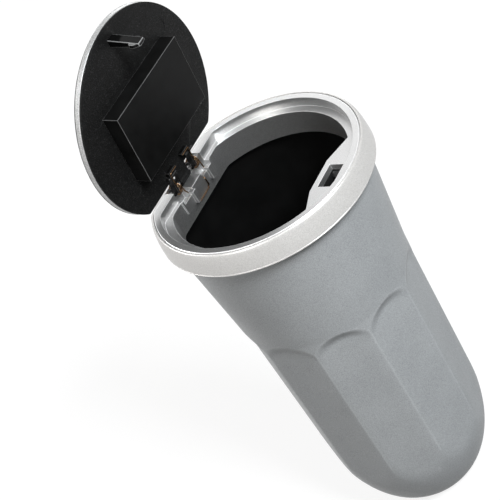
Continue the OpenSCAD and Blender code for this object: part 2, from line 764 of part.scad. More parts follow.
module lid_cap() {
    color(silver) opened() {
        difference() {
            union() {
                translate([0, 0, cap_z]) linear_extrude(height = cap_t - cap_step) lid_plan(0);
                translate([0, 0, cap_z]) linear_extrude(height = cap_t) lid_plan(cap_step);
            }
            difference() {
                translate([0, 0, cap_z - 1])
                    linear_extrude(height = cap_t - cap_skin + 1) lid_plan(cap_rim);
                for (s = liner_screw_places)
                    translate([s[0], s[1], cap_z - 2]) cylinder(r = boss_r, h = cap_t + 2, $fn = small);
                translate([-pad_half, -pad_far, cap_z - 2])
                    cube([2 * pad_half, pad_far - pad_near, cap_t + 2]);
            }
            for (s = liner_screw_places)
                translate([s[0], s[1], cap_z - 1])
                    cylinder(r = liner_screw_r, h = cap_t - cap_skin + liner_screw_bite, $fn = small);
            // room for the striker's foot
            translate([-striker_w / 2 - foot_side - foot_fit, -striker_y - foot_back - foot_fit, cap_z - 1])
                cube([striker_w + 2 * (foot_side + foot_fit),
                      striker_t + foot_back + foot_front + 2 * foot_fit, foot_t + 1.05]);
        }
    }
}

// Screws that hold the liner, at the corners of a rectangle inside the block
liner_screw_places = [for (sx = [-1, 1], sy = [-1, 1])
    [sx * (box_w / 2 - screw_inset), -box_shift + sy * (box_d / 2 - screw_inset)]];

module lid_liner() {
    ring_x = box_w / 2 + mark_out;
    ring_y = box_d / 2 + mark_down;
    rib_w = box_w - 2 * (box_wall + lid_fit);
    rib_d = box_d - 2 * (box_wall + lid_fit);
    core_w = rib_w - 2 * rib_t;
    core_d = rib_d - 2 * rib_t;
    color(black) opened() {
        difference() {
            union() {
                translate([0, 0, face_z]) linear_extrude(height = liner_t) lid_plan(0);
                // knuckle that turns on the pin, and the tongue that carries it
                bar_x(-knuckle_half, knuckle_half, hinge_y, hinge_z, eye_r);
                translate([-knuckle_half, lid_chord - 0.3, face_z]) cube([2 * knuckle_half, 2, liner_t]);
                translate([-knuckle_half, lid_chord + 0.1, face_z])
                    cube([2 * knuckle_half, hinge_y - lid_chord - 0.1, 1.8]);
                // ribs that locate the block
                difference() {
                    translate([-rib_w / 2, -box_shift - rib_d / 2, face_z - rib_h])
                        cube([rib_w, rib_d, rib_h + e]);
                    translate([-core_w / 2, -box_shift - core_d / 2, face_z - rib_h - 0.5])
                        cube([core_w, core_d, rib_h + 0.5]);
                }
                // cradles under the rivets
                for (x = cradle_xs)
                    translate([x - 0.5, rivet_y - 1.2, rivet_z]) cube([1, 2.4, face_z - rivet_z + e]);
            }
            bar_x(-knuckle_half - 1, knuckle_half + 1, hinge_y, hinge_z, pin_r + pin_gap);
            for (s = [-1, 1]) bar_x(s * rivet_x - 3, s * rivet_x + 3, rivet_y, rivet_z, rivet_r + 0.02);
            for (s = liner_screw_places)
                translate([s[0], s[1], face_z - 1])
                    cylinder(r = liner_screw_r + 0.2, h = liner_t + 2, $fn = small);
            translate([-striker_w / 2 - lid_fit, -striker_y - lid_fit, face_z - 1])
                cube([striker_w + 2 * lid_fit, striker_t + 2 * lid_fit, liner_t + 2]);
            // four round marks beside the block's corners
            for (sx = [-1, 1], sy = [-1, 1])
                translate([sx * ring_x, -box_shift + sy * ring_y, face_z - 1])
                    cylinder(r = mark_r, h = mark_deep + 1, $fn = small);
        }
    }
}

module lid_box() {
    color(black) opened() {
        difference() {
            translate([-box_w / 2, -box_shift - box_d / 2, box_floor_z]) cube([box_w, box_d, box_h]);
            translate([-box_w / 2 + box_wall, -box_shift - box_d / 2 + box_wall, box_floor_z + box_wall])
                cube([box_w - 2 * box_wall, box_d - 2 * box_wall, box_h]);
        }
    }
}

module liner_screws() {
    color(steel) opened()
        for (s = liner_screw_places)
            translate([s[0], s[1], 0]) difference() {
                union() {
                    translate([0, 0, face_z - liner_head_h])
                        cylinder(r = liner_head_r, h = liner_head_h, $fn = small);
                    translate([0, 0, face_z - 0.1])
                        cylinder(r = liner_screw_r, h = liner_t + liner_screw_bite + 0.1, $fn = small);
                }
                cross_recess(2, face_z - liner_head_h, liner_head_h / 2);
            }
}

// One arm: an eye on the pin, a straight web on the liner and a tab bent towards the middle
module hinge_arm(side) {
    x0 = (side > 0 ? arm_right_x : -arm_left_x) - arm_t / 2;
    tab_x = side > 0 ? x0 - arm_tab + e : x0 + arm_t - e;
    color(black) opened() {
        difference() {
            union() {
                bar_x(x0, x0 + arm_t, hinge_y, hinge_z, eye_r);
                translate([x0, arm_end_y, arm_low_z]) cube([arm_t, hinge_y - arm_end_y - 1, arm_h]);
                translate([x0, lid_chord + slide_gap, arm_low_z])
                    cube([arm_t, hinge_y - lid_chord - slide_gap, face_z - arm_low_z + 1]);
                translate([tab_x, arm_end_y, arm_low_z]) cube([arm_tab, hook_t, arm_h]);
            }
            bar_x(x0 - 1, x0 + arm_t + 1, hinge_y, hinge_z, pin_r + pin_gap);
            bar_x(x0 - 1, x0 + arm_t + 1, rivet_y, rivet_z, rivet_r + 0.01);
        }
    }
}

module hinge_rivet(side) {
    color(steel) opened()
        bar_x(side * rivet_x - rivet_half, side * rivet_x + rivet_half, rivet_y, rivet_z, rivet_r);
}

module striker() {
    near = striker_y - striker_t;
    barb_side = [[barb_tip_w / 2, 0], [barb_w / 2, barb_low], [barb_w / 2, barb_high],
                 [striker_w / 2 - 0.2, barb_root]];
    color(black) opened() {
        difference() {
            union() {
                translate([-striker_w / 2, 0, face_z])
                    rotate([90, 0, 90]) linear_extrude(height = striker_w)
                        polygon([[-striker_y, liner_t + e], [-striker_y, 0],
                                 [-striker_y + striker_lean, -striker_l], [-near - 0.4, -striker_l],
                                 [-near, -striker_l + 1], [-near, liner_t + e]]);
                // barbed head, with bevelled sides
                translate([0, -near, face_z - striker_l]) rotate([90, 0, 0])
                    linear_extrude(height = striker_t - striker_lean)
                        polygon([for (s = [1, -1], p = s > 0 ? barb_side : reversed(barb_side))
                            [s * p[0], p[1]]]);
                // foot held between the liner and the cap
                translate([-striker_w / 2 - foot_side, -striker_y - foot_back, face_z + liner_t])
                    cube([striker_w + 2 * foot_side, striker_t + foot_back + foot_front, foot_t]);
            }
            // groove along the shank
            translate([-groove_w / 2, -near - groove_deep, face_z - striker_l + barb_root + 0.6])
                cube([groove_w, groove_deep + 1, striker_l - barb_root - 1.1]);
        }
    }
}

can_body();
rim_collar();
outer_band();
hinge_pin();
lid_spring();
latch_housing();
latch_carriage();
latch_spring();
latch_wire();
latch_screws();
lid_cap();
lid_liner();
lid_box();
liner_screws();
hinge_arm(-1);  // hinge_arm_left
hinge_arm(1);  // hinge_arm_right
hinge_rivet(-1);  // rivet_left
hinge_rivet(1);  // rivet_right
striker();
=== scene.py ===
"""Small car bin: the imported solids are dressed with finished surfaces, wires and paints.

Lengths are in millimetres in the classes, and each mesh is written in metres. The bin stands on
z = 0, its hinge is at +Y and its latch at -Y.
"""
import logging
import math
from dataclasses import dataclass, field
from enum import Enum

import bmesh
import bpy
import numpy as np
from mathutils import Matrix, Vector


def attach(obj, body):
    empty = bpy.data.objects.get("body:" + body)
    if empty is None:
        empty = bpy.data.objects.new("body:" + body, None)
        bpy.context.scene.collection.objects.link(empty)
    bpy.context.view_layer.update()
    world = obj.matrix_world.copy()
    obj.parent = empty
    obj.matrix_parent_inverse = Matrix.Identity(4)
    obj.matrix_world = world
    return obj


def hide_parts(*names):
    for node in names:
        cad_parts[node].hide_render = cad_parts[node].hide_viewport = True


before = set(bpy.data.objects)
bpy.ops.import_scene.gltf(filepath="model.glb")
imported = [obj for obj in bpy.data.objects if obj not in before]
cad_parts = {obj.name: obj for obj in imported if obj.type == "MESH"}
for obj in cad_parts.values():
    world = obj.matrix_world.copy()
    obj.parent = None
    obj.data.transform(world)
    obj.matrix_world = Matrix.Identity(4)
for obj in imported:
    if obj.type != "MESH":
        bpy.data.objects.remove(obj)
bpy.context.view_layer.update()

MM = 0.001
MERGE = 2e-6  # metres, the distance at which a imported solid's points are joined
FLAT = 0.3  # degrees, the greatest turn between triangles that are one flat
SPLIT = 1e-6  # millimetres, the least distance between two points of a wire's path
DOME_ANGLES = (15.0, 45.0, 70.0)  # degrees, the rings of a wire's domed end
log = logging.getLogger("bin")


class Body(Enum):
    """The frame's bodies that new pieces ride on."""

    CAN = "can"
    LID = "lid"


class Slot(Enum):
    """The record's material slots, one named for each new piece."""

    SILVER = "silver_paint"
    SATIN = "satin_silver"
    BAND = "satin_band"
    GRAIN = "black_grain"
    PLASTIC = "black_plastic"
    GLOSS = "gloss_black"
    COPPER = "copper_wire"


# ---------------------------------------------------------------- curves and meshes


def smooth_min(a: np.ndarray, b: np.ndarray, blend: float) -> np.ndarray:
    """Lesser of two values with a rounded change from one to the other.

    min(a, b) - (1 - |a - b| / blend)^2 * blend / 4 where |a - b| < blend.

    Args:
        a: First value.
        b: Second value.
        blend: Difference of the two at which the rounding starts.

    Returns:
        The blended minimum.
    """
    near = np.clip(1.0 - np.abs(a - b) / blend, 0.0, 1.0)
    return np.minimum(a, b) - near**2 * blend / 4.0


def rounded_profile(corners: list[tuple[float, float, float]], steps: int = 4) -> np.ndarray:
    """Closed outline whose corners are arcs.

    An arc of radius f touches both sides at f * tan(turn / 2) from the corner.

    Args:
        corners: Each corner's two coordinates and its radius.
        steps: Points of an arc, less one.

    Returns:
        Points of the outline, one row each.
    """
    data = np.array(corners, float)
    here, radius = data[:, :2], data[:, 2]
    to_last, to_next = np.roll(here, 1, 0) - here, np.roll(here, -1, 0) - here
    to_last /= np.linalg.norm(to_last, axis=1)[:, None]
    to_next /= np.linalg.norm(to_next, axis=1)[:, None]
    opening = np.arccos(np.clip((to_last * to_next).sum(1), -1.0, 1.0))
    cut = radius / np.tan(opening / 2)
    middle = to_last + to_next
    middle /= np.linalg.norm(middle, axis=1)[:, None] + 1e-12
    centre = here + middle * (radius / np.sin(opening / 2))[:, None]
    share = np.linspace(0.0, 1.0, steps + 1)[None, :, None]
    start = here + to_last * cut[:, None] - centre
    end = here + to_next * cut[:, None] - centre
    turn = (math.pi - opening)[:, None, None]
    weight = np.where(turn > 1e-6, np.sin(turn), 1.0)
    arc = (np.sin((1 - share) * turn) * start[:, None] + np.sin(share * turn) * end[:, None]) / weight
    return (centre[:, None] + arc).reshape(-1, 2)


def make_mesh(name: str, points: np.ndarray, faces: list[np.ndarray],
              smooth: bool = True) -> bpy.types.Object:
    """Puts points and faces into a new object at the origin.

    Args:
        name: The piece's name.
        points: Places in millimetres, one row each.
        faces: Arrays of vertex numbers, one array for each number of sides.
        smooth: Whether the shading is smooth.

    Returns:
        The new object.
    """
    mesh = bpy.data.meshes.new(name)
    mesh.vertices.add(len(points))
    mesh.vertices.foreach_set("co", (points * MM).astype(np.float32).ravel())
    loops = np.concatenate([f.ravel() for f in faces])
    sides = np.concatenate([np.full(len(f), f.shape[1]) for f in faces])
    mesh.loops.add(len(loops))
    mesh.loops.foreach_set("vertex_index", loops.astype(np.int32))
    mesh.polygons.add(len(sides))
    mesh.polygons.foreach_set("loop_start", (np.cumsum(sides) - sides).astype(np.int32))
    mesh.polygons.foreach_set("use_smooth", np.full(len(sides), smooth))
    mesh.update(calc_edges=True)
    mesh.validate()
    piece = bpy.data.objects.new(name, mesh)
    bpy.context.scene.collection.objects.link(piece)
    return piece


def ring_faces(rows: int, columns: int, closed: bool) -> np.ndarray:
    """Four-sided faces of a grid whose columns run all the way round.

    Args:
        rows: Rows of points.
        columns: Points in a row.
        closed: Whether the last row joins the first.

    Returns:
        Vertex numbers, four to a face, turned so that they point outwards when the rows go up.
    """
    i = np.arange(rows if closed else rows - 1)[:, None]
    j = np.arange(columns)[None, :]
    up, on = (i + 1) % rows, (j + 1) % columns
    corners = [i * columns + j, i * columns + on, up * columns + on, up * columns + j]
    return np.stack([np.broadcast_to(c, (len(i), columns)) for c in corners], -1).reshape(-1, 4)


def fan_faces(first: int, columns: int, pole: int, flip: bool) -> np.ndarray:
    """Triangles between one row of a ring grid and a pole.

    Args:
        first: Number of the row's first point.
        columns: Points in the row.
        pole: Number of the pole's point.
        flip: Whether the triangles are turned over.

    Returns:
        Vertex numbers, three to a face.
    """
    j = np.arange(columns)
    row, on, top = first + j, first + (j + 1) % columns, np.full(columns, pole)
    return np.stack([on, row, top] if flip else [row, on, top], -1)


def curve_points(route: np.ndarray, steps: int) -> np.ndarray:
    """Smooth curve through a route's points.

    Each stretch is the cubic 0.5 (2b + (c-a)t + (2a-5b+4c-d)t^2 + (3b-a-3c+d)t^3) of the four
    points a, b, c, d around it.

    Args:
        route: Points of the route.
        steps: Points of each stretch.

    Returns:
        Points of the curve.
    """
    padded = np.vstack([2 * route[0] - route[1], route, 2 * route[-1] - route[-2]])
    a, b, c, d = (padded[k: len(route) - 1 + k, None] for k in range(4))
    t = np.linspace(0.0, 1.0, steps, endpoint=False)[None, :, None]
    curve = 0.5 * (2 * b + (c - a) * t + (2 * a - 5 * b + 4 * c - d) * t**2 + (3 * b - a - 3 * c + d) * t**3)
    return np.vstack([curve.reshape(-1, 3), route[-1:]])


def tube(name: str, path: np.ndarray, radius: float, sides: int = 14) -> bpy.types.Object:
    """Round wire along a path, with domed ends.

    Each ring is path + radius * (u cos a + w sin a), where u is carried along the path and stays
    square to it. The end rings shrink as a quarter circle to a pole.

    Args:
        name: The piece's name.
        path: Points of the wire's middle.
        radius: The wire's radius.
        sides: Points round the wire.

    Returns:
        The new object.
    """
    path = path[np.r_[True, np.linalg.norm(np.diff(path, axis=0), axis=1) > SPLIT]]
    along = np.gradient(path, axis=0)
    along /= np.linalg.norm(along, axis=1)[:, None]
    u = np.cross(along[0], (0.0, 0.3, 1.0))
    carried = []
    for direction in along:
        u = u - direction * (u @ direction)
        u /= np.linalg.norm(u)
        carried.append(u)
    u = np.array(carried)
    w = np.cross(along, u)
    angle = np.linspace(0.0, 2 * math.pi, sides, endpoint=False)
    dome = np.radians(DOME_ANGLES)
    reach = np.concatenate([-np.sin(dome[::-1]), np.zeros(len(path)), np.sin(dome)]) * radius
    size = np.concatenate([np.cos(dome[::-1]), np.ones(len(path)), np.cos(dome)]) * radius
    pick = np.r_[np.zeros(len(dome), int), np.arange(len(path)), np.full(len(dome), len(path) - 1)]
    cosine, sine = np.cos(angle)[None, :, None], np.sin(angle)[None, :, None]
    spoke = u[pick][:, None] * cosine + w[pick][:, None] * sine
    rings = path[pick][:, None] + along[pick][:, None] * reach[:, None, None] + spoke * size[:, None, None]
    count = len(rings)
    poles = np.vstack([path[0] - along[0] * radius, path[-1] + along[-1] * radius])
    points = np.vstack([rings.reshape(-1, 3), poles])
    first, last = count * sides, count * sides + 1
    ends = np.vstack([fan_faces(0, sides, first, True), fan_faces(first - sides, sides, last, False)])
    return make_mesh(name, points, [ring_faces(count, sides, False), ends])


def merged_copy(node: str, name: str, bevel: float, angle: float = 35.0) -> bpy.types.Object:
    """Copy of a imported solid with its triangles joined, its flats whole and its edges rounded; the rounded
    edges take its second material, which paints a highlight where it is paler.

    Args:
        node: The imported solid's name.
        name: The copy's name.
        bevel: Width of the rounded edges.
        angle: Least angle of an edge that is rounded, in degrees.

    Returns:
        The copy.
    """
    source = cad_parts[node]
    mesh = source.data.copy()
    mesh.name = name
    work = bmesh.new()
    work.from_mesh(mesh)
    bmesh.ops.remove_doubles(work, verts=work.verts, dist=MERGE)
    bmesh.ops.dissolve_limit(work, angle_limit=math.radians(FLAT), verts=work.verts, edges=work.edges)
    for face in work.faces:
        face.smooth = True
    work.to_mesh(mesh)
    work.free()
    mesh.set_sharp_from_angle(angle=math.radians(angle))
    mesh.materials.clear()
    piece = bpy.data.objects.new(name, mesh)
    bpy.context.scene.collection.objects.link(piece)
    edge = piece.modifiers.new("rounded_edges", "BEVEL")
    edge.width = bevel * MM
    edge.segments = 3
    edge.limit_method = "ANGLE"
    edge.angle_limit = math.radians(angle)
    edge.use_clamp_overlap = False
    edge.harden_normals = True
    edge.miter_outer = "MITER_ARC"
    # rounded edges take the second material, a painted highlight where it is paler
    edge.material = 1
    return piece


def seat(piece: bpy.types.Object, body: Body, slot: Slot, *nodes: str) -> bpy.types.Object:
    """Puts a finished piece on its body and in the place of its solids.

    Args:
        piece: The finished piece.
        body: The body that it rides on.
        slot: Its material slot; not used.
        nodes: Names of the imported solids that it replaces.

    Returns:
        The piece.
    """
    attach(piece, body.value)
    if nodes:
        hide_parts(*nodes)
    return piece


def dress(piece: bpy.types.Object, *materials: bpy.types.Material) -> bpy.types.Object:
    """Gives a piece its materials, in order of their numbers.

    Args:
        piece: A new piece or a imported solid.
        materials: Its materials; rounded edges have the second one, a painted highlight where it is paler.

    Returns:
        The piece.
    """
    if not piece.data.materials:
        for material in materials:
            piece.data.materials.append(material)
    for number in range(len(piece.data.materials)):
        piece.data.materials[number] = materials[min(number, len(materials) - 1)]
    return piece


# ---------------------------------------------------------------- finishes


class Nodes:
    """A material's nodes, made and joined in few words."""

    def __init__(self, name: str) -> None:
        """Makes an empty material with its shader.

        Args:
            name: The material's name.
        """
        self.material = bpy.data.materials.new(name)
        self.material.use_nodes = True
        self.tree = self.material.node_tree
        self.shader = self.tree.nodes["Principled BSDF"]
        place = self.add("ShaderNodeTexCoord")
        self.place = place.outputs["Object"]

    def add(self, kind: str, **inputs: object) -> bpy.types.Node:
        """Adds a node and fills its sockets.

        Args:
            kind: Blender's name of the node.
            inputs: Values or sockets, by the socket's name with _ for a space.

        Returns:
            The node.
        """
        node = self.tree.nodes.new(kind)
        for key, value in inputs.items():
            self.put(node.inputs[key.replace("_", " ")], value)
        return node

    def put(self, socket: bpy.types.NodeSocket, value: object) -> None:
        """Joins a socket to another or sets its value.

        Args:
            socket: The socket to fill.
            value: Another socket, or a plain value.
        """
        if isinstance(value, bpy.types.NodeSocket):
            self.tree.links.new(value, socket)
        else:
            socket.default_value = value

    def noise(self, size: float, detail: float = 2.0, place: object = None) -> bpy.types.NodeSocket:
        """Noise on the piece's own coordinates.

        Args:
            size: Width of its features, in millimetres.
            detail: How many finer layers it has.
            place: Coordinates, where they aren't the plain ones.

        Returns:
            The noise, about 0.5 on average.
        """
        node = self.add("ShaderNodeTexNoise", Vector=place or self.place, Scale=1.0 / (size * MM),
                        Detail=detail)
        return node.outputs["Fac"]

    def ramp(self, value: bpy.types.NodeSocket, stops: list[tuple[float, tuple]]) -> bpy.types.NodeSocket:
        """Colour that follows a value through a few stops.

        Args:
            value: What the colour follows.
            stops: Each stop's place and colour.

        Returns:
            The colour.
        """
        node = self.add("ShaderNodeValToRGB", Fac=value)
        bar = node.color_ramp.elements
        while len(bar) < len(stops):
            bar.new(0.5)
        for stop, (where, colour) in zip(bar, stops):
            stop.position = where
            stop.color = (*colour, 1.0)
        return node.outputs["Color"]

    def span(self, value: bpy.types.NodeSocket, low: float, high: float,
             out: tuple[float, float]) -> bpy.types.NodeSocket:
        """A value's stretch from low to high carried over to another stretch.

        Args:
            value: The value.
            low: Start of its stretch.
            high: End of its stretch.
            out: What the start and the end become.

        Returns:
            The new value.
        """
        node = self.add("ShaderNodeMapRange", Value=value)
        for key, number in zip(("From Min", "From Max", "To Min", "To Max"), (low, high, *out)):
            node.inputs[key].default_value = number
        return node.outputs["Result"]

    def maths(self, kind: str, a: object, b: object) -> bpy.types.NodeSocket:
        """Arithmetic on two values.

        Args:
            kind: Blender's name of the operation.
            a: First value or socket.
            b: Second value or socket.

        Returns:
            The result.
        """
        node = self.add("ShaderNodeMath")
        node.operation = kind
        self.put(node.inputs[0], a)
        self.put(node.inputs[1], b)
        return node.outputs[0]

    def axis(self, number: int) -> bpy.types.NodeSocket:
        """One of the place's three coordinates, in metres."""
        return self.add("ShaderNodeSeparateXYZ", Vector=self.place).outputs[number]

    def bump(self, height: bpy.types.NodeSocket, depth: float, strength: float = 1.0) -> None:
        """Raises the surface by a value times so many millimetres."""
        node = self.add("ShaderNodeBump", Height=height, Distance=depth * MM, Strength=strength)
        self.put(self.shader.inputs["Normal"], node.outputs["Normal"])

    def set(self, **inputs: object) -> None:
        """Sets the shader's own sockets, by their names with _ for a space."""
        for key, value in inputs.items():
            self.put(self.shader.inputs[key.replace("_", " ")], value)


def grey(level: float, warmth: float = 0.0) -> tuple[float, float, float]:
    """Linear colour of a grey as it looks on a screen.

    Args:
        level: Brightness on the screen from 0 to 255.
        warmth: Red above and blue below that brightness.

    Returns:
        Red, green and blue.
    """
    values = np.clip((np.array([level + warmth, level, level - warmth])) / 255.0, 0.0, 1.0)
    linear = np.where(values > 0.04045, ((values + 0.055) / 1.055) ** 2.4, values / 12.92)
    return tuple(float(v) for v in linear)


@dataclass(frozen=True)
class MetalPaint:
    """Silver paint with fine metallic flakes."""

    name: str
    low: tuple[float, float, float]
    high: tuple[float, float, float]
    metallic: float = 0.75
    roughness: float = 0.36
    flake: float = 0.35
    bump: float = 0.012
    specular: float = 0.5
    # strength of a painted highlight on convex ridges and painted shade in concave creases, from the
    # surface's curvature
    ridge_sheen: float = 0.0
    cloud: float = 18.0
    cloud_share: float = 0.15
    gloss_patch: float = 0.6
    # heights in metres over which that painted highlight and shade fade in
    ridge_sheen_from: tuple[float, float] = (0.02, 0.035)

    def build(self) -> bpy.types.Material:
        """Makes the paint: two tones by fine noise, uneven gloss, a faint orange peel, and a painted
        highlight on convex edges with painted shade in concave creases.

        Returns:
            The material.
        """
        n = Nodes(self.name)
        flakes = n.noise(self.flake, 3.0)
        tone = n.maths("ADD", n.span(flakes, 0.35, 0.65, (0.0, 1.0 - self.cloud_share)),
                       n.span(n.noise(self.cloud, 2.0), 0.35, 0.65, (0.0, self.cloud_share)))
        # painted highlight on convex ridges and painted shade in creases, from curvature, above a height
        if self.ridge_sheen:
            bend = n.span(n.add("ShaderNodeNewGeometry").outputs["Pointiness"], 0.47, 0.53, (-1.0, 1.0))
            share = n.span(n.axis(2), *self.ridge_sheen_from, (0.0, self.ridge_sheen))
            tone = n.maths("ADD", n.maths("MULTIPLY", tone, 0.6), n.maths("MULTIPLY", bend, share))
        n.set(Base_Color=n.ramp(tone, [(0.0, self.low), (1.0, self.high)]), Metallic=self.metallic,
              Roughness=n.span(n.noise(self.gloss_patch, 2.0), 0.3, 0.7,
                               (self.roughness - 0.05, self.roughness + 0.06)),
              Specular_IOR_Level=self.specular)
        n.bump(flakes, self.bump)
        return n.material


@dataclass(frozen=True)
class GrainedPlastic:
    """Dark plastic with a sandy grain whose brightest specks are painted as glints."""

    name: str
    low: tuple[float, float, float]
    high: tuple[float, float, float]
    painted_glint: tuple[float, float, float]
    grain: float = 0.45
    roughness: float = 0.5
    bump: float = 0.05
    specular: float = 0.5
    cloud: float = 14.0

    def build(self) -> bpy.types.Material:
        """Makes the plastic: cells give the grain, fine noise paints glints on its brightest specks, slow
        noise its unevenness.

        Returns:
            The material.
        """
        n = Nodes(self.name)
        cells = n.add("ShaderNodeTexVoronoi", Vector=n.place, Scale=1.0 / (self.grain * MM))
        fine = n.noise(self.grain, 2.0)
        height = n.maths("ADD", n.span(cells.outputs["Distance"], 0.0, 0.8, (1.0, 0.0)), fine)
        tone = n.maths("ADD", n.span(fine, 0.38, 0.72, (0.0, 0.95)),
                       n.span(n.noise(self.cloud), 0.4, 0.6, (0.0, 0.05)))
        # the last colour paints glints on the grain's brightest specks
        n.set(Base_Color=n.ramp(tone, [(0.0, self.low), (0.62, self.high), (1.0, self.painted_glint)]),
              Roughness=n.span(fine, 0.3, 0.7, (self.roughness + 0.08, self.roughness - 0.08)),
              Specular_IOR_Level=self.specular)
        n.bump(height, self.bump)
        return n.material


@dataclass(frozen=True)
class MouldedPlastic:
    """Plain moulded plastic, smooth but not quite even."""

    name: str
    colour: tuple[float, float, float]
    roughness: float = 0.4
    wave: float = 6.0
    specular: float = 0.5
    texture: float = 0.12
    texture_share: float = 0.04
    bump: float = 0.04

    def build(self) -> bpy.types.Material:
        """Makes the plastic: slow sink marks, fine texture and slightly uneven gloss.

        Returns:
            The material.
        """
        n = Nodes(self.name)
        slow = n.noise(self.wave, 2.0)
        fine = n.noise(self.texture, 2.0)
        light = tuple(min(1.0, 1.5 * c + 0.001) for c in self.colour)
        n.set(Base_Color=n.ramp(slow, [(0.3, self.colour), (0.75, light)]),
              Roughness=n.span(n.maths("ADD", fine, slow), 0.7, 1.3,
                               (self.roughness - 0.05, self.roughness + 0.05)),
              Specular_IOR_Level=self.specular)
        n.bump(n.maths("ADD", slow, n.maths("MULTIPLY", fine, self.texture_share)), self.bump)
        return n.material


@dataclass(frozen=True)
class DrawnMetal:
    """Bare drawn or ground metal with fine marks along one axis."""

    name: str
    colour: tuple[float, float, float]
    dark: tuple[float, float, float]
    roughness: float = 0.22
    stretch: tuple[float, float, float] = (0.08, 1.0, 1.0)
    mark: float = 0.15
    bump: float = 0.006

    def build(self) -> bpy.types.Material:
        """Makes the metal: noise drawn out along an axis gives its marks.

        Returns:
            The material.
        """
        n = Nodes(self.name)
        place = n.add("ShaderNodeMapping", Vector=n.place, Scale=self.stretch).outputs["Vector"]
        marks = n.noise(self.mark, 3.0, place)
        n.set(Base_Color=n.ramp(marks, [(0.3, self.dark), (0.62, self.colour)]), Metallic=1.0,
              Roughness=n.span(marks, 0.3, 0.7, (self.roughness + 0.08, self.roughness - 0.06)))
        n.bump(marks, self.bump)
        return n.material


# ---------------------------------------------------------------- the can


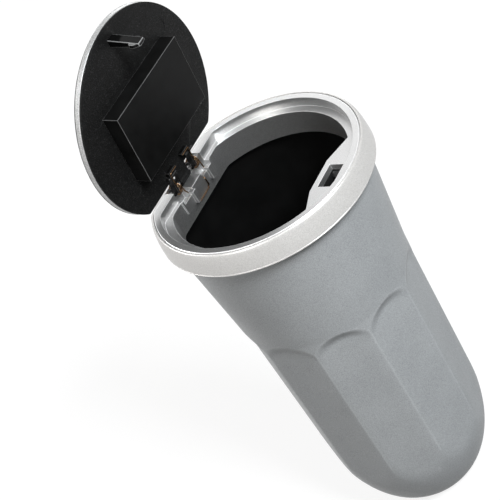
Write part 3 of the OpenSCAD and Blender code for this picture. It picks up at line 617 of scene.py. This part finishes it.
@dataclass
class Can:
    """The faceted can, one closed shell with an outside, a lip, an inside and a base."""

    top_r: float = 40.6
    waist_r: float = 36.0
    low_r: float = 34.4
    top_z: float = 165.3
    waist_z: float = 114.0
    bottom_h: float = 45.0
    curve_h: float = 48.5
    curve_r: float = 9.5
    base_r: float = 17.58
    facets: int = 10
    corner_flat: float = 0.12
    arch_r: float = 14.0
    arch_fillet: float = 6.0
    arch_z: float = 95.8
    edge_blend: float = 1.0
    lip: float = 2.0
    wall: float = 1.4
    floor_t: float = 2.4
    lip_h: float = 6.0
    lip_step: float = 0.4
    lip_round: float = 0.3
    floor_round: float = 3.0
    waist_top: float = 118.0
    arch_low: float = 92.0
    foot_rows: tuple[float, ...] = (0.25, 0.8, 1.6, 2.4)
    bottom_from: float = 3.2
    bottom_step: float = 1.1
    facet_step: float = 2.4
    arch_step: float = 0.42
    cone_rows: int = 12
    depths: tuple[float, ...] = (
        153.0, 117.0, 100.0, 80.0, 60.0, 45.0, 38.0, 31.0, 25.0, 19.0, 13.0, 8.0, 4.5)
    hollow_end: float = 20.0
    columns: int = 600
    # the paint's last number paints a highlight on the facets' ridges and shade in the arches' creases
    paint: MetalPaint = MetalPaint("can_paint", grey(144, -2), grey(198, -2), 0.0, 0.4, 0.3, 0.008, 0.1, 0.45)
    inside: MouldedPlastic = MouldedPlastic("can_inside", grey(7), 0.8, 9.0, 0.04)
    pieces: list[bpy.types.Object] = field(default_factory=list)

    def taper(self, z: np.ndarray) -> np.ndarray:
        """Radius of the round can that the facets are cut from, below the waist."""
        share = (self.waist_z - z) / (self.waist_z - self.bottom_h)
        return self.waist_r + (self.low_r - self.waist_r) * share

    def round_radius(self, z: np.ndarray) -> np.ndarray:
        """Radius of the can without its facets.

        A cone above the waist, a slight cone below it, and below that a quarter of an ellipse.

        Args:
            z: Heights.

        Returns:
            Radii.
        """
        upper = self.waist_r + (self.top_r - self.waist_r) * (z - self.waist_z) / (self.top_z - self.waist_z)
        drop = np.clip((self.bottom_h - z) / self.curve_h, 0.0, 1.0)
        lower = self.curve_r + (self.low_r - self.curve_r) * np.sqrt(1.0 - drop**2)
        return np.where(z > self.waist_z, upper, np.where(z < self.bottom_h, lower, self.taper(z)))

    def outer_radius(self, angle: np.ndarray, z: np.ndarray) -> np.ndarray:
        """Radius of the outside at an angle and a height.

        A facet's plane at distance d gives d / cos(a). Above the arch's centre the plane holds
        inside a disc of radius R, and beyond its rim it curves outwards by F - sqrt(F^2 - s^2),
        where s is the distance from the rim. The lesser of plane and round wall counts.

        Args:
            angle: Angles round the axis.
            z: Heights.

        Returns:
            Radii.
        """
        step = 2 * math.pi / self.facets
        off = np.mod(angle + math.pi / 2, step) - step / 2
        plane = self.taper(z) * math.cos(step / 2) + self.corner_flat
        across = plane * np.tan(off)
        rise = np.clip(z - self.arch_z, 0.0, None)
        beyond = np.clip(np.hypot(across, rise) - self.arch_r, 0.0, self.arch_fillet)
        hollow = self.arch_fillet - np.sqrt(self.arch_fillet**2 - beyond**2)
        hollow = np.where(beyond >= self.arch_fillet, self.hollow_end, hollow)
        return smooth_min(self.round_radius(z), (plane + hollow) / np.cos(off), self.edge_blend)

    def circles(self, profile: list[tuple[float, float]], ring: np.ndarray) -> np.ndarray:
        """Rows of points (r cos a, r sin a, z), one row for each place of a profile.

        Args:
            profile: Radii and heights.
            ring: Cosine and sine of each column's angle.

        Returns:
            Points, by row and column.
        """
        data = np.array(profile)
        flat = data[:, None, :1] * ring[None]
        return np.concatenate([flat, np.broadcast_to(data[:, 1][:, None, None], (*flat.shape[:2], 1))], -1)

    def build(self) -> None:
        """Builds the shell and dresses it."""
        rows_z = np.concatenate([
            self.foot_rows, np.arange(self.bottom_from, self.bottom_h, self.bottom_step),
            np.arange(self.bottom_h, self.arch_low, self.facet_step),
            np.arange(self.arch_low, self.waist_top, self.arch_step),
            np.linspace(self.waist_top, self.top_z - self.lip_round, self.cone_rows)])
        angle = np.linspace(0.0, 2 * math.pi, self.columns, endpoint=False)
        wall_z = np.broadcast_to(rows_z[:, None], (len(rows_z), self.columns))
        wall_r = self.outer_radius(np.broadcast_to(angle, wall_z.shape), wall_z)
        base = [(self.base_r / 2, 0.0), (self.base_r - self.lip_round, 0.0)]
        depth_z = np.array(self.depths)
        inner_r = np.minimum(self.taper(depth_z) * math.cos(math.pi / self.facets),
                             self.round_radius(depth_z)) + self.corner_flat - self.wall
        mouth, bend = self.top_r - self.lip, self.lip_round
        inner_r[0] = mouth - self.lip_step
        inner = [(self.top_r - bend, self.top_z), (mouth + bend, self.top_z), (mouth, self.top_z - bend),
                 (mouth, self.top_z - self.lip_h), *zip(inner_r, depth_z),
                 (inner_r[-1] - self.floor_round, self.floor_t)]
        ring = np.stack([np.cos(angle), np.sin(angle)], -1)
        outside = np.concatenate([wall_r[..., None] * ring[None], wall_z[..., None]], -1)
        rows = np.concatenate([self.circles(base, ring), outside, self.circles(inner, ring)])
        count = len(rows)
        poles = np.array([[0.0, 0.0, 0.0], [0.0, 0.0, self.floor_t]])
        points = np.vstack([rows.reshape(-1, 3), poles])
        last = (count - 1) * self.columns
        caps = np.vstack([fan_faces(0, self.columns, len(points) - 2, True),
                          fan_faces(last, self.columns, len(points) - 1, False)])
        shell = make_mesh("can_shell", points, [ring_faces(count, self.columns, False), caps])
        dress(shell, self.paint.build(), self.inside.build())
        within = np.zeros((count - 1, self.columns), np.int32)
        within[len(base) + len(rows_z):] = 1
        marks = np.concatenate([within.ravel(), np.repeat([0, 1], self.columns)]).astype(np.int32)
        shell.data.polygons.foreach_set("material_index", marks)
        self.pieces.append(seat(shell, Body.CAN, Slot.SILVER, "can_body"))


# ---------------------------------------------------------------- the rim


@dataclass
class Rim:
    """The satin collar that closes the can's mouth and the band round it."""

    rim_z: float = 171.0
    flange_z: float = 165.4
    land_r: float = 41.4
    seam: float = 0.15
    inner_r: float = 40.9
    top_r: float = 42.0
    low_r: float = 43.65
    height: float = 9.7
    chord_y: float = 35.4
    chamfer_run: float = 1.6
    chamfer_blend: float = 0.12
    collar_round: float = 0.12
    collar_angle: float = 28.0
    bow: tuple[float, float] = (88.0, 4.0)
    bow_rows: int = 20
    seam_round: float = 0.1
    hem_round: float = 0.25
    low_round: float = 0.35
    top_round: float = 0.12
    columns: int = 420
    satin: MetalPaint = MetalPaint("collar_satin", grey(180), grey(222), 0.92, 0.34, 0.25, 0.0006)
    # paler paint of the collar's rounded edges, a painted highlight
    satin_edge_highlight: MetalPaint = MetalPaint("collar_edge_highlight", grey(226), grey(240), 0.6, 0.35, 0.4, 0.001)
    band: MetalPaint = MetalPaint("band_satin", grey(184, 2), grey(208, 2), 0.5, 0.34, 0.35, 0.005)
    pieces: list[bpy.types.Object] = field(default_factory=list)

    def build_band(self) -> None:
        """Builds the band.

        Its profile's outside is a quarter of an ellipse and is carried round the axis; at the
        hinge each height is held under the plane z = rim - (y - chord) / run.
        """
        low, seam_r = self.rim_z - self.height, self.land_r + self.seam
        turn = np.radians(np.linspace(*self.bow, self.bow_rows))
        radii = self.top_r + (self.low_r - self.top_r) * np.sin(turn)
        outside = np.stack([radii, low + self.height * np.cos(turn)], -1)
        corners = [(seam_r, self.flange_z, self.seam_round), (self.inner_r, self.flange_z, self.seam_round),
                   (self.inner_r, low, self.hem_round), (self.low_r, low, self.low_round)]
        top = [(self.top_r, self.rim_z, self.top_round), (seam_r, self.rim_z, self.top_round)]
        arc = 5
        profile = np.vstack([
            rounded_profile([*corners, (*outside[0], 0.0), *top], arc - 1)[:len(corners) * arc], outside,
            rounded_profile([(*outside[-1], 0.0), *top, *corners], arc - 1)[arc:(1 + len(top)) * arc]])
        angle = np.linspace(0.0, 2 * math.pi, self.columns, endpoint=False)
        r, z = profile[:, :1], np.broadcast_to(profile[:, 1:], (len(profile), self.columns))
        x, y = r * np.cos(angle), r * np.sin(angle)
        z = smooth_min(z, self.rim_z - (y - self.chord_y) / self.chamfer_run, self.chamfer_blend)
        points = np.stack([x, y, z], -1).reshape(-1, 3)
        band = make_mesh("band_ring", points, [ring_faces(len(profile), self.columns, True)])
        self.pieces.append(seat(dress(band, self.band.build()), Body.CAN, Slot.BAND, "outer_band"))

    def build(self) -> None:
        """Builds the collar and the band."""
        collar = merged_copy("rim_collar", "collar_frame", self.collar_round, self.collar_angle)
        dress(collar, self.satin.build(), self.satin_edge_highlight.build())
        self.pieces.append(seat(collar, Body.CAN, Slot.SATIN, "rim_collar"))
        self.build_band()


# ---------------------------------------------------------------- the lid


@dataclass
class Lid:
    """The lid with its cap, liner, hollow block, striker, arms and rivets."""

    cap_paint: MetalPaint = MetalPaint("cap_paint", grey(135), grey(200), 0.6, 0.42, 0.3, 0.006, 0.3)
    # the liner's third colour paints glints on the grain's brightest specks
    grain: GrainedPlastic = GrainedPlastic("liner_grain", grey(10), grey(24), grey(62), 0.28, 0.5, 0.03, 0.08)
    smooth: MouldedPlastic = MouldedPlastic("box_plastic", grey(12), 0.4, 6.0, 0.07)
    # paler plastic of the block's rounded edges, a painted highlight
    smooth_edge_highlight: MouldedPlastic = MouldedPlastic("box_edge_highlight", grey(80), 0.4, 6.0, 0.3)
    gloss: MouldedPlastic = MouldedPlastic("striker_gloss", grey(8), 0.15, 3.0, 0.1)
    # paler plastic of the striker's rounded edges, a painted highlight
    gloss_edge_highlight: MouldedPlastic = MouldedPlastic("striker_edge_highlight", grey(115), 0.2, 3.0, 0.5)
    black: MouldedPlastic = MouldedPlastic("arm_black", grey(8), 0.3, 4.0, 0.1)
    # paler plastic of the arms' rounded edges, a painted highlight
    black_edge_highlight: MouldedPlastic = MouldedPlastic("arm_edge_highlight", grey(60), 0.3, 4.0, 0.3)
    rivet: MouldedPlastic = MouldedPlastic("rivet_black", grey(24), 0.25, 2.0, 0.4)
    steel: DrawnMetal = DrawnMetal("screw_steel", grey(200), grey(150))
    pieces: list[bpy.types.Object] = field(default_factory=list)

    def build(self) -> None:
        """Builds every piece of the lid and dresses it.

        The plan's rows hold the solid, the piece, the width of its rounded edges, the finishes of
        its faces and edges (a paler edge finish is a painted highlight), and its slot.
        """
        paint, grain, rivet = (f.build() for f in (self.cap_paint, self.grain, self.rivet))
        # each pair's second finish is a painted highlight on the rounded edges
        smooth, gloss, black = ([f.build(), e.build()] for f, e in (
            (self.smooth, self.smooth_edge_highlight), (self.gloss, self.gloss_edge_highlight), (self.black, self.black_edge_highlight)))
        plan = [("lid_cap", "cap_shell", 0.4, [paint, paint], Slot.SILVER),
                ("lid_liner", "liner_plate", 0.15, [grain, grain], Slot.GRAIN),
                ("lid_box", "hollow_block", 0.16, smooth, Slot.PLASTIC),
                ("striker", "striker_post", 0.25, gloss, Slot.GLOSS),
                ("hinge_arm_left", "arm_left", 0.1, black, Slot.PLASTIC),
                ("hinge_arm_right", "arm_right", 0.1, black, Slot.PLASTIC),
                ("rivet_left", "rivet_pin_left", 0.2, [rivet, rivet], Slot.PLASTIC),
                ("rivet_right", "rivet_pin_right", 0.2, [rivet, rivet], Slot.PLASTIC)]
        for node, name, bevel, finishes, slot in plan:
            piece = merged_copy(node, name, bevel)
            self.pieces.append(seat(dress(piece, *finishes), Body.LID, slot, node))
        dress(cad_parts["liner_screws"], self.steel.build())


# ---------------------------------------------------------------- the hinge


@dataclass
class Hinge:
    """The hinge pin and the copper spring: two coils joined by a loop, and two legs on the lid."""

    axis_y: float = 34.5
    axis_z: float = 169.0
    open_angle: float = 84.2
    arm_low_z: float = 166.1
    wire_d: float = 0.5
    coil_r: float = 2.5
    turns: int = 3
    arm_right: float = 6.3
    arm_left: float = -8.1
    arm_t: float = 1.0
    arm_tab: float = 3.9
    arm_end_y: float = 24.4
    spring_gap: float = 0.35
    mid_half: float = 3.75
    pocket_near: float = 30.3
    block_near: float = 29.5
    bore_y: float = 30.1
    pocket_z: float = 162.0
    block_low: float = 161.1
    loop_z: float = 159.5
    touch: float = 0.05
    hook_t: float = 0.9
    hook_past: float = 0.3
    pitch_share: float = 1.04
    coil_steps: int = 36
    curve_steps: int = 6
    # copper painted darker than bare copper, partly as painted shade of the dark hinge pockets
    copper: DrawnMetal = DrawnMetal("spring_copper", (0.30, 0.19, 0.11), (0.10, 0.06, 0.035), 0.25)
    steel: DrawnMetal = DrawnMetal("pin_steel", grey(205), grey(150))
    pieces: list[bpy.types.Object] = field(default_factory=list)

    def opened(self, points: np.ndarray) -> np.ndarray:
        """Turns points of the shut lid about the pin to where they stand when it is open.

        y' = Y + dy cos a + dz sin a and z' = Z - dy sin a + dz cos a, with dy and dz from the pin.

        Args:
            points: Points on the shut lid.

        Returns:
            Points on the open lid.
        """
        angle = math.radians(self.open_angle)
        dy, dz = points[:, 1] - self.axis_y, points[:, 2] - self.axis_z
        return np.stack([points[:, 0], self.axis_y + dy * math.cos(angle) + dz * math.sin(angle),
                         self.axis_z - dy * math.sin(angle) + dz * math.cos(angle)], -1)

    def leg(self, name: str, arm: float, coil_x: float, side: int) -> bpy.types.Object:
        """A leg: hooked over the arm's tab, then along the arm's edge to the coil.

        Args:
            name: The piece's name.
            arm: Place of the arm along the pin.
            coil_x: Place of the coil's start.
            side: 1 where the tab points inwards to the left, -1 to the right.

        Returns:
            The leg.
        """
        z, y = self.arm_low_z - self.wire_d / 2 - self.touch, self.arm_end_y + self.hook_t / 2
        d = coil_x - arm
        hook = self.arm_tab + self.hook_past
        route = np.array([
            [arm - side * hook, y, z], [arm - side * 0.6, y, z], [arm - side * 0.15, y + 0.15, z],
            [arm, y + 0.6, z], [arm, self.axis_y - 5, z], [arm + 0.15 * d, self.axis_y - 4.3, z],
            [arm + 0.85 * d, self.axis_y - 3, z],
            [coil_x, self.axis_y - 2.2, z], [coil_x, self.axis_y - 0.9, self.axis_z - self.coil_r - 0.15]])
        return tube(name, curve_points(self.opened(route), self.curve_steps), self.wire_d / 2)

    def coil(self, x0: float, x1: float) -> np.ndarray:
        """Points (x0 + (x1 - x0) a / A, y - R cos a, z - R sin a) of a coil, for a from 0 to A.

        Args:
            x0: Place of its start along the pin.
            x1: Place of its end along the pin.

        Returns:
            The points.
        """
        angle = np.linspace(0.0, 2 * math.pi * self.turns, self.coil_steps * self.turns + 1)
        return np.stack([np.linspace(x0, x1, len(angle)), self.axis_y - self.coil_r * np.cos(angle),
                         self.axis_z - self.coil_r * np.sin(angle)], -1)

    def build(self) -> None:
        """Builds the spring's three pieces and dresses the pin.

        The route's points are offsets from the edges that the wire passes.
        """
        r = self.wire_d / 2
        pitch = self.wire_d * self.pitch_share
        right = self.arm_right + self.arm_t / 2 + self.spring_gap + r
        left = self.arm_left + self.arm_t / 2 + self.spring_gap + r
        right_end, left_end = right + pitch * self.turns, left + pitch * self.turns
        drop = self.axis_y - self.coil_r - 0.1
        link, link_z = self.mid_half + r + 0.1, self.arm_low_z - self.wire_d - 0.35 - 0.7
        link_y, loop_y = self.pocket_near + r + 0.3, self.block_near - r - 0.15
        rest_y = self.bore_y - r - self.touch
        down_right = np.array([
            [right_end, drop, self.axis_z - 1.5], [right_end, drop - 0.2, link_z + 0.7],
            [right_end - 0.4, link_y + 0.2, link_z], [right_end - 1, link_y, link_z],
            [link + 0.8, link_y, link_z],
            [link + 0.2, link_y - 0.2, link_z], [link, link_y - 0.8, link_z], [link, loop_y + 0.6, link_z],
            [link, loop_y + 0.1, link_z - 0.2], [link, loop_y, link_z - 0.7]])
        down_left = np.array([
            [left_end + 0.1, drop, self.axis_z - 2], [-link, link_y + 0.6, link_z - 0.4],
            [-link, link_y, self.pocket_z + 1],
            [-link, link_y - 0.6, self.pocket_z + 0.55], [-link, loop_y + 0.4, self.pocket_z + 0.4],
            [-link, loop_y, self.pocket_z], [-link, loop_y, self.block_low - 0.1]])
        half = [[link, loop_y, self.block_low - 0.1], [link, rest_y, self.loop_z + 0.7],
                [link - 0.2, rest_y, self.loop_z + 0.2], [link - 0.9, rest_y, self.loop_z]]
        loop = np.array(half + [[-x, y, z] for x, y, z in reversed(half)])
        route = np.vstack([down_right, loop, down_left[::-1]])
        path = np.vstack([self.coil(right, right_end), curve_points(route, self.curve_steps)[1:],
                          self.coil(left, left_end)[::-1]])
        copper = self.copper.build()
        spring = tube("spring_coils", path, r)
        self.pieces.append(seat(dress(spring, copper), Body.CAN, Slot.COPPER, "lid_spring"))
        for name, arm, start, side in (("spring_leg_right", self.arm_right, right, 1),
                                       ("spring_leg_left", self.arm_left, left, -1)):
            leg = dress(self.leg(name, arm, start, side), copper)
            self.pieces.append(seat(leg, Body.LID, Slot.COPPER, "lid_spring"))
        dress(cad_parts["hinge_pin"], self.steel.build())


# ---------------------------------------------------------------- the latch


@dataclass
class Latch:
    """The push latch under the tab: its housing, carriage, spring, follower and screws."""

    black: MouldedPlastic = MouldedPlastic("latch_black", grey(22), 0.4)
    dark: MouldedPlastic = MouldedPlastic("carriage_black", grey(15), 0.3, 4.0)
    steel: DrawnMetal = DrawnMetal("latch_steel", grey(200), grey(150))

    def build(self) -> None:
        """Dresses the latch's solids, which keep their shapes."""
        black, dark, steel = self.black.build(), self.dark.build(), self.steel.build()
        for node, material in (("latch_housing", black), ("latch_carriage", dark), ("latch_spring", steel),
                               ("latch_wire", steel), ("latch_screws", steel)):
            dress(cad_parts[node], material)


# ---------------------------------------------------------------- the studio


@dataclass(frozen=True)
class Lamp:
    """A square soft lamp that points at the bin's axis.

    around and rise are its direction from +X and above the horizon in degrees, reach and size are
    in metres, and power is in watts.
    """

    name: str
    around: float
    rise: float
    size: float
    power: float
    colour: tuple[float, float, float] = (1.0, 1.0, 1.0)
    reach: float = 1.1

    def build(self, aim: float) -> None:
        """Places the lamp.

        Args:
            aim: Height of the point that it is aimed at, in metres.
        """
        data = bpy.data.lights.new(self.name, "AREA")
        data.size, data.energy, data.color = self.size, self.power, self.colour
        around, rise = math.radians(self.around), math.radians(self.rise)
        way = Vector((math.cos(rise) * math.cos(around), math.cos(rise) * math.sin(around), math.sin(rise)))
        lamp = bpy.data.objects.new(self.name, data)
        lamp.location = Vector((0.0, 0.0, aim)) + way * self.reach
        lamp.rotation_euler = (-way).to_track_quat("-Z", "Y").to_euler()
        bpy.context.scene.collection.objects.link(lamp)


@dataclass
class Studio:
    """Pale floor, soft light all round, and the camera."""

    eye: tuple[float, float, float] = (-0.33173, -0.34189, 0.47946)
    right: tuple[float, float, float] = (0.41382, -0.79582, -0.44206)
    up: tuple[float, float, float] = (0.72755, -0.00276, 0.68605)
    back: tuple[float, float, float] = (-0.54719, -0.60552, 0.57786)
    lens: float = 113.23
    sensor: float = 36.0
    world_strength: float = 0.08
    floor_size: float = 6.0
    floor_glow: float = 0.8
    floor_shade: float = 0.12
    shade_lift: float = 1.15
    near_far: tuple[float, float] = (0.01, 50.0)
    aim: float = 0.11
    lamps: tuple[Lamp, ...] = (
        Lamp("key", -100.0, 47.0, 0.4, 16.0, (0.95, 0.985, 1.0)),
        Lamp("side", 180.0, 34.0, 0.4, 4.0, (1.0, 0.985, 0.95)),
        Lamp("rear", 104.0, 34.0, 0.5, 5.5),
        Lamp("edge", 34.0, 14.0, 0.5, 2.2))

    def camera(self) -> None:
        """Places the camera from its place and its three axes."""
        data = bpy.data.cameras.new("camera")
        data.sensor_width, data.lens, data.sensor_fit = self.sensor, self.lens, "AUTO"
        data.clip_start, data.clip_end = self.near_far
        camera = bpy.data.objects.new("camera", data)
        turn = Matrix([self.right, self.up, self.back]).transposed().to_4x4()
        camera.matrix_world = Matrix.Translation(self.eye) @ turn
        bpy.context.scene.collection.objects.link(camera)
        bpy.context.scene.camera = camera

    def seen(self, tree: bpy.types.NodeTree) -> bpy.types.NodeSocket:
        """One where the camera, a mirror or glass looks, else nought.

        Args:
            tree: The nodes of the floor or of the world.

        Returns:
            The value.
        """
        path = tree.nodes.new("ShaderNodeLightPath")
        total = path.outputs["Is Camera Ray"]
        for name in ("Is Glossy Ray", "Is Transmission Ray"):
            node = tree.nodes.new("ShaderNodeMath")
            node.operation = "MAXIMUM"
            tree.links.new(total, node.inputs[0])
            tree.links.new(path.outputs[name], node.inputs[1])
            total = node.outputs[0]
        return total

    def world(self) -> None:
        """White where it is seen, and a plain level where it lights."""
        world = bpy.data.worlds.new("studio")
        bpy.context.scene.world = world
        world.use_nodes = True
        tree = world.node_tree
        node = tree.nodes.new("ShaderNodeMapRange")
        node.inputs["To Min"].default_value = self.world_strength
        node.inputs["To Max"].default_value = 1.0
        tree.links.new(self.seen(tree), node.inputs["Value"])
        ground = tree.nodes["Background"]
        ground.inputs["Color"].default_value = (1.0, 1.0, 1.0, 1.0)
        tree.links.new(node.outputs["Result"], ground.inputs["Strength"])

    def floor(self) -> None:
        """Pale floor that looks white and keeps the bin's shadow."""
        half = self.floor_size / 2
        points = np.array([[-half, -half, 0], [half, -half, 0], [half, half, 0], [-half, half, 0]]) / MM
        floor = make_mesh("floor", points, [np.array([[0, 1, 2, 3]])], False)
        material = bpy.data.materials.new("floor_white")
        material.use_nodes = True
        tree = material.node_tree
        tree.nodes.remove(tree.nodes["Principled BSDF"])
        out = tree.nodes["Material Output"]
        pale, faint, glow, both, choice = (tree.nodes.new(kind) for kind in (
            "ShaderNodeBsdfDiffuse", "ShaderNodeBsdfDiffuse", "ShaderNodeEmission", "ShaderNodeAddShader",
            "ShaderNodeMixShader"))
        rest = (1.0 - self.floor_glow) * self.shade_lift
        pale.inputs["Color"].default_value = (*[self.floor_shade] * 3, 1.0)
        faint.inputs["Color"].default_value = (*[rest] * 3, 1.0)
        glow.inputs["Strength"].default_value = self.floor_glow
        for a, b in ((faint.outputs[0], both.inputs[0]), (glow.outputs[0], both.inputs[1]),
                     (self.seen(tree), choice.inputs[0]), (pale.outputs[0], choice.inputs[1]),
                     (both.outputs[0], choice.inputs[2]), (choice.outputs[0], out.inputs["Surface"])):
            tree.links.new(a, b)
        dress(floor, material)

    def build(self) -> None:
        """Builds the camera, the world, the floor and the lamps."""
        self.camera()
        self.world()
        self.floor()
        for lamp in self.lamps:
            lamp.build(self.aim)
        bpy.context.scene.view_settings.view_transform = "Standard"


def main() -> None:
    """Builds the studio and the bin's sub-assemblies, and reports each piece."""
    logging.basicConfig(level=logging.INFO, format="%(name)s: %(message)s")
    Studio().build()
    for part in (Can(), Rim(), Lid(), Hinge(), Latch()):
        part.build()
        for piece in getattr(part, "pieces", []):
            log.info("%s: %d faces", piece.name, len(piece.data.polygons))


if __name__ == "__main__":
    main()
